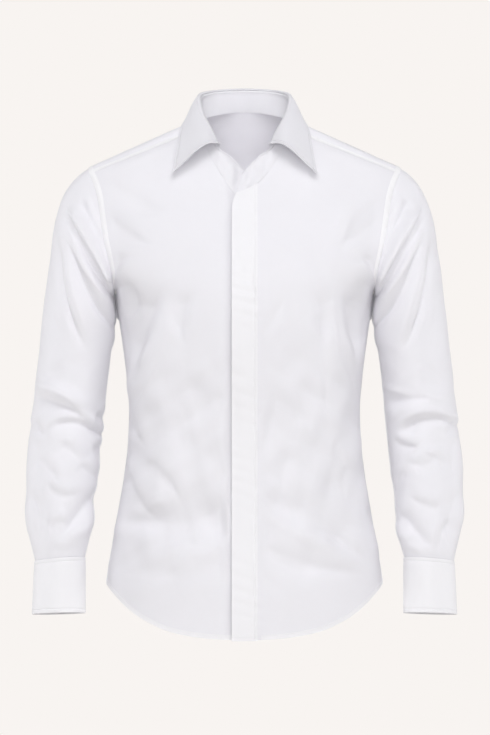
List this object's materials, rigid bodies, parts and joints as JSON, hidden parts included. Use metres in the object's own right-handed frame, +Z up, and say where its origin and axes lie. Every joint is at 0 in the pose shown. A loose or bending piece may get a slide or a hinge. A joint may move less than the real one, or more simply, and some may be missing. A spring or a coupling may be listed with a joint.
{
  "type": "long sleeve dress shirt",
  "caption": "Long sleeve dress shirt with a spread collar, covered front placket, back yoke, barrel cuffs and a curved hem, filled out with no wearer.",
  "frame": {"origin": "centre of the neck opening, level with the points where the collar meets the shoulders, where the wearer's neck and shoulders hold the shirt", "axes": "+X to the shirt's own left, -Y to its front, +Z up"},
  "size_m": [0.6182, 0.2375, 0.7798],
  "materials": {
    "cloth": "smooth white cotton poplin",
    "doubled_cloth": "white cotton poplin, doubled and stiffened",
    "button": "semi-gloss white"
  },
  "bodies": {
    "root": {"front_left": "cloth", "front_right": "cloth", "placket": "doubled_cloth", "back_panel": "cloth", "yoke": "cloth", "collar_stand": "doubled_cloth", "collar_leaf": "doubled_cloth", "sleeve_left": "cloth", "sleeve_right": "cloth", "cuff_left": "doubled_cloth", "cuff_right": "doubled_cloth", "sleeve_placket_left": "doubled_cloth", "sleeve_placket_right": "doubled_cloth", "collar_button": "button", "front_button_1": "button", "front_button_2": "button", "front_button_3": "button", "front_button_4": "button", "front_button_5": "button", "front_button_6": "button", "cuff_button_left": "button", "cuff_button_right": "button"}
  },
  "joints": []
}
